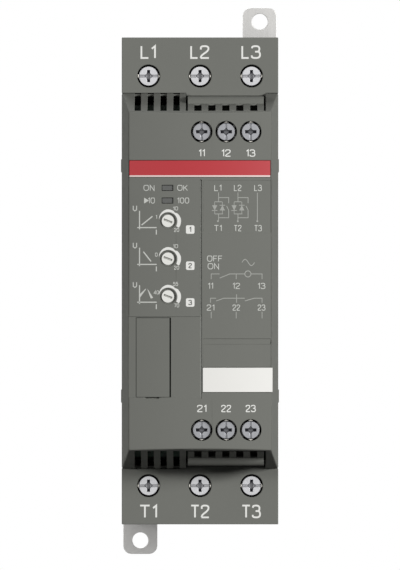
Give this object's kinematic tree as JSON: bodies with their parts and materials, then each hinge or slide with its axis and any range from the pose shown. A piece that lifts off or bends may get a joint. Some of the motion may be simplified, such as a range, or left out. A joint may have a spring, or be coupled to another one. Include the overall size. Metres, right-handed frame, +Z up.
{
  "type": "soft starter",
  "caption": "Narrow three-phase motor soft starter with screw terminals above and below, setting dials on its raised front, and a back for a rail or a wall.",
  "frame": {"origin": "centre of the rail seat, where the face of a 35 mm rail rests", "axes": "+X to the right, +Z up, +Y to the wall behind; the front panel faces -Y"},
  "size_m": [0.0454, 0.1281, 0.16],
  "materials": {
    "grey_housing": "fine satin texture, warm mid grey",
    "rear_grey": "fine satin texture, darker grey",
    "aluminium": "extruded, bare",
    "zinc_plate": "zinc plated sheet",
    "spring_steel": "spring steel",
    "nickel_screw": "nickel plated, bright",
    "cage_steel": "zinc plated",
    "tinned_contact": "tin plated",
    "white_plastic": "off-white, satin",
    "red_strip": "red with a white line below",
    "smoke_window": "dark translucent",
    "board_green": "solder mask",
    "module_black": "moulding compound"
  },
  "bodies": {
    "root": {"mounting_plate": "zinc_plate", "rear_housing": "rear_grey", "heat_sink": "aluminium", "main_housing": "grey_housing", "front_cover": "grey_housing", "line_terminal_block": "grey_housing", "motor_terminal_block": "grey_housing", "upper_control_module": "grey_housing", "lower_control_module": "grey_housing", "clip_spring": "spring_steel", "ready_light_guide": "smoke_window", "run_light_guide": "smoke_window", "front_strip": "red_strip", "marker_plate": "white_plastic", "control_board": "board_green", "power_board": "board_green", "thyristor_module_1": "module_black", "thyristor_module_2": "module_black", "power_contact_1": "tinned_contact", "power_contact_2": "tinned_contact", "power_contact_3": "tinned_contact", "power_contact_4": "tinned_contact", "power_contact_5": "tinned_contact", "power_contact_6": "tinned_contact", "control_contact_1": "tinned_contact", "control_contact_2": "tinned_contact", "control_contact_3": "tinned_contact", "control_contact_4": "tinned_contact", "control_contact_5": "tinned_contact", "control_contact_6": "tinned_contact"},
    "power_screw_1": {"power_screw_1": "nickel_screw"},
    "power_cage_1": {"power_cage_1": "cage_steel"},
    "power_screw_2": {"power_screw_2": "nickel_screw"},
    "power_cage_2": {"power_cage_2": "cage_steel"},
    "power_screw_3": {"power_screw_3": "nickel_screw"},
    "power_cage_3": {"power_cage_3": "cage_steel"},
    "power_screw_4": {"power_screw_4": "nickel_screw"},
    "power_cage_4": {"power_cage_4": "cage_steel"},
    "power_screw_5": {"power_screw_5": "nickel_screw"},
    "power_cage_5": {"power_cage_5": "cage_steel"},
    "power_screw_6": {"power_screw_6": "nickel_screw"},
    "power_cage_6": {"power_cage_6": "cage_steel"},
    "control_screw_1": {"control_screw_1": "nickel_screw"},
    "control_cage_1": {"control_cage_1": "cage_steel"},
    "control_screw_2": {"control_screw_2": "nickel_screw"},
    "control_cage_2": {"control_cage_2": "cage_steel"},
    "control_screw_3": {"control_screw_3": "nickel_screw"},
    "control_cage_3": {"control_cage_3": "cage_steel"},
    "control_screw_4": {"control_screw_4": "nickel_screw"},
    "control_cage_4": {"control_cage_4": "cage_steel"},
    "control_screw_5": {"control_screw_5": "nickel_screw"},
    "control_cage_5": {"control_cage_5": "cage_steel"},
    "control_screw_6": {"control_screw_6": "nickel_screw"},
    "control_cage_6": {"control_cage_6": "cage_steel"},
    "setting_dial_1": {"setting_dial_1": "white_plastic"},
    "setting_dial_2": {"setting_dial_2": "white_plastic"},
    "setting_dial_3": {"setting_dial_3": "white_plastic"},
    "rail_clip": {"rail_clip": "spring_steel"},
    "port_cover": {"port_cover": "grey_housing"}
  },
  "joints": [
    {"name": "power_cage_1_lift", "type": "slide", "parent": "root", "child": "power_cage_1", "axis": [0, -1, 0], "range_m": [0, 0.005]},
    {"name": "power_screw_1_turn", "type": "hinge", "parent": "root", "child": "power_screw_1", "pos_m": [-0.0148, -0.0917, 0.0589], "axis": [0, 1, 0], "range_deg": [0, 2571.6]},
    {"name": "power_cage_2_lift", "type": "slide", "parent": "root", "child": "power_cage_2", "axis": [0, -1, 0], "range_m": [0, 0.005]},
    {"name": "power_screw_2_turn", "type": "hinge", "parent": "root", "child": "power_screw_2", "pos_m": [0, -0.0917, 0.0589], "axis": [0, 1, 0], "range_deg": [0, 2571.6]},
    {"name": "power_cage_3_lift", "type": "slide", "parent": "root", "child": "power_cage_3", "axis": [0, -1, 0], "range_m": [0, 0.005]},
    {"name": "power_screw_3_turn", "type": "hinge", "parent": "root", "child": "power_screw_3", "pos_m": [0.0148, -0.0917, 0.0589], "axis": [0, 1, 0], "range_deg": [0, 2571.6]},
    {"name": "power_cage_4_lift", "type": "slide", "parent": "root", "child": "power_cage_4", "axis": [0, -1, 0], "range_m": [0, 0.005]},
    {"name": "power_screw_4_turn", "type": "hinge", "parent": "root", "child": "power_screw_4", "pos_m": [-0.0148, -0.0917, -0.0589], "axis": [0, 1, 0], "range_deg": [0, 2571.6]},
    {"name": "power_cage_5_lift", "type": "slide", "parent": "root", "child": "power_cage_5", "axis": [0, -1, 0], "range_m": [0, 0.005]},
    {"name": "power_screw_5_turn", "type": "hinge", "parent": "root", "child": "power_screw_5", "pos_m": [0, -0.0917, -0.0589], "axis": [0, 1, 0], "range_deg": [0, 2571.6]},
    {"name": "power_cage_6_lift", "type": "slide", "parent": "root", "child": "power_cage_6", "axis": [0, -1, 0], "range_m": [0, 0.005]},
    {"name": "power_screw_6_turn", "type": "hinge", "parent": "root", "child": "power_screw_6", "pos_m": [0.0148, -0.0917, -0.0589], "axis": [0, 1, 0], "range_deg": [0, 2571.6]},
    {"name": "control_cage_1_lift", "type": "slide", "parent": "root", "child": "control_cage_1", "axis": [0, -1, 0], "range_m": [0, 0.0032]},
    {"name": "control_screw_1_turn", "type": "hinge", "parent": "root", "child": "control_screw_1", "pos_m": [0.00048, -0.1191, 0.04266], "axis": [0, 1, 0], "range_deg": [0, 2304.1]},
    {"name": "control_cage_2_lift", "type": "slide", "parent": "root", "child": "control_cage_2", "axis": [0, -1, 0], "range_m": [0, 0.0032]},
    {"name": "control_screw_2_turn", "type": "hinge", "parent": "root", "child": "control_screw_2", "pos_m": [0.00749, -0.1191, 0.04266], "axis": [0, 1, 0], "range_deg": [0, 2304.1]},
    {"name": "control_cage_3_lift", "type": "slide", "parent": "root", "child": "control_cage_3", "axis": [0, -1, 0], "range_m": [0, 0.0032]},
    {"name": "control_screw_3_turn", "type": "hinge", "parent": "root", "child": "control_screw_3", "pos_m": [0.0145, -0.1191, 0.04266], "axis": [0, 1, 0], "range_deg": [0, 2304.1]},
    {"name": "control_cage_4_lift", "type": "slide", "parent": "root", "child": "control_cage_4", "axis": [0, -1, 0], "range_m": [0, 0.0032]},
    {"name": "control_screw_4_turn", "type": "hinge", "parent": "root", "child": "control_screw_4", "pos_m": [0.00048, -0.1191, -0.04266], "axis": [0, 1, 0], "range_deg": [0, 2304.1]},
    {"name": "control_cage_5_lift", "type": "slide", "parent": "root", "child": "control_cage_5", "axis": [0, -1, 0], "range_m": [0, 0.0032]},
    {"name": "control_screw_5_turn", "type": "hinge", "parent": "root", "child": "control_screw_5", "pos_m": [0.00749, -0.1191, -0.04266], "axis": [0, 1, 0], "range_deg": [0, 2304.1]},
    {"name": "control_cage_6_lift", "type": "slide", "parent": "root", "child": "control_cage_6", "axis": [0, -1, 0], "range_m": [0, 0.0032]},
    {"name": "control_screw_6_turn", "type": "hinge", "parent": "root", "child": "control_screw_6", "pos_m": [0.0145, -0.1191, -0.04266], "axis": [0, 1, 0], "range_deg": [0, 2304.1]},
    {"name": "setting_dial_1_turn", "type": "hinge", "parent": "root", "child": "setting_dial_1", "pos_m": [-0.00918, -0.1201, 0.01714], "axis": [0, 1, 0], "range_deg": [-105, 105]},
    {"name": "setting_dial_2_turn", "type": "hinge", "parent": "root", "child": "setting_dial_2", "pos_m": [-0.00918, -0.1201, 0.00634], "axis": [0, 1, 0], "range_deg": [-105, 105]},
    {"name": "setting_dial_3_turn", "type": "hinge", "parent": "root", "child": "setting_dial_3", "pos_m": [-0.00918, -0.1201, -0.00445], "axis": [0, 1, 0], "range_deg": [-105, 105]},
    {"name": "rail_clip_slide", "type": "slide", "parent": "root", "child": "rail_clip", "axis": [0, 0, -1], "range_m": [0, 0.0036], "stiffness_N_per_m": 800, "springref_m": -0.003, "deforming": ["clip_spring"]},
    {"name": "port_cover_pull", "type": "slide", "parent": "root", "child": "port_cover", "axis": [0, -1, 0], "range_m": [0, 0.012]}
  ],
  "couplings": [
    {"joint": "power_screw_1_turn", "follows": "power_cage_1_lift", "rad_per_m": 8976},
    {"joint": "power_screw_2_turn", "follows": "power_cage_2_lift", "rad_per_m": 8976},
    {"joint": "power_screw_3_turn", "follows": "power_cage_3_lift", "rad_per_m": 8976},
    {"joint": "power_screw_4_turn", "follows": "power_cage_4_lift", "rad_per_m": 8976},
    {"joint": "power_screw_5_turn", "follows": "power_cage_5_lift", "rad_per_m": 8976},
    {"joint": "power_screw_6_turn", "follows": "power_cage_6_lift", "rad_per_m": 8976},
    {"joint": "control_screw_1_turn", "follows": "control_cage_1_lift", "rad_per_m": 12566},
    {"joint": "control_screw_2_turn", "follows": "control_cage_2_lift", "rad_per_m": 12566},
    {"joint": "control_screw_3_turn", "follows": "control_cage_3_lift", "rad_per_m": 12566},
    {"joint": "control_screw_4_turn", "follows": "control_cage_4_lift", "rad_per_m": 12566},
    {"joint": "control_screw_5_turn", "follows": "control_cage_5_lift", "rad_per_m": 12566},
    {"joint": "control_screw_6_turn", "follows": "control_cage_6_lift", "rad_per_m": 12566}
  ]
}
